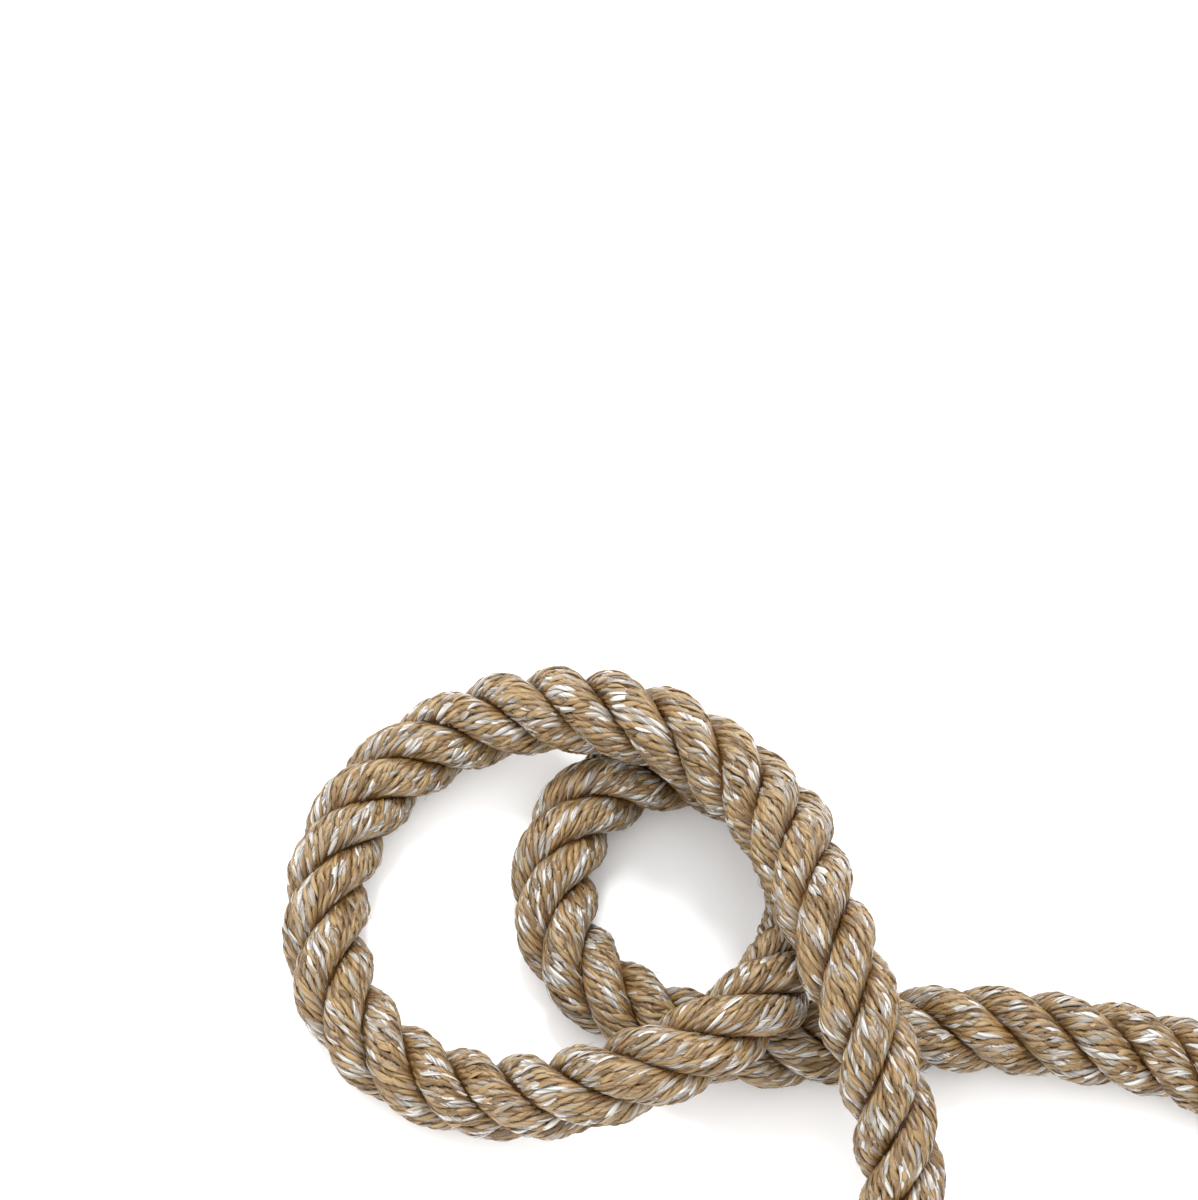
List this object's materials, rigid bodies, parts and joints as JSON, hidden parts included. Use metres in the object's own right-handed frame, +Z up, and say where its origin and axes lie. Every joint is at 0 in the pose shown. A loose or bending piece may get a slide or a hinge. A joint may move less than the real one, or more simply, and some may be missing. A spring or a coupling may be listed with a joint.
{
  "type": "coiled dock line",
  "caption": "Three-strand dock line lying in a loose coil, with a whipped end, a tied hank of spare line and a spliced eye.",
  "frame": {"origin": "on the surface the line lies on, under the middle of the whole line's outline", "axes": "+X from the loose coil towards the hank, along the hank's runs; +Y away from the side the bitter end lies on; +Z up"},
  "size_m": [0.4257, 0.108, 0.0406],
  "materials": {
    "rope": "satin film yarns, tan with silver-white flecks, hard laid",
    "whipping_twine": "waxed, tarred dark brown twine",
    "tie_twine": "undyed cotton twine",
    "melted_yarn": "yarn ends melted to a dark, slightly glossy bead"
  },
  "bodies": {
    "root": {"tail_run": "rope", "outer_turn": "rope", "inner_turn": "rope", "standing_run": "rope", "stowed_hank": "rope", "hank_top_run": "rope", "splice_body": "rope", "eye_loop": "rope", "end_whipping": "whipping_twine", "splice_whipping": "whipping_twine", "melted_strand_end_1": "melted_yarn", "melted_strand_end_2": "melted_yarn", "melted_strand_end_3": "melted_yarn", "hank_tie_near": "tie_twine", "hank_tie_far": "tie_twine", "tie_knot_near": "tie_twine", "tie_knot_far": "tie_twine"}
  },
  "joints": []
}
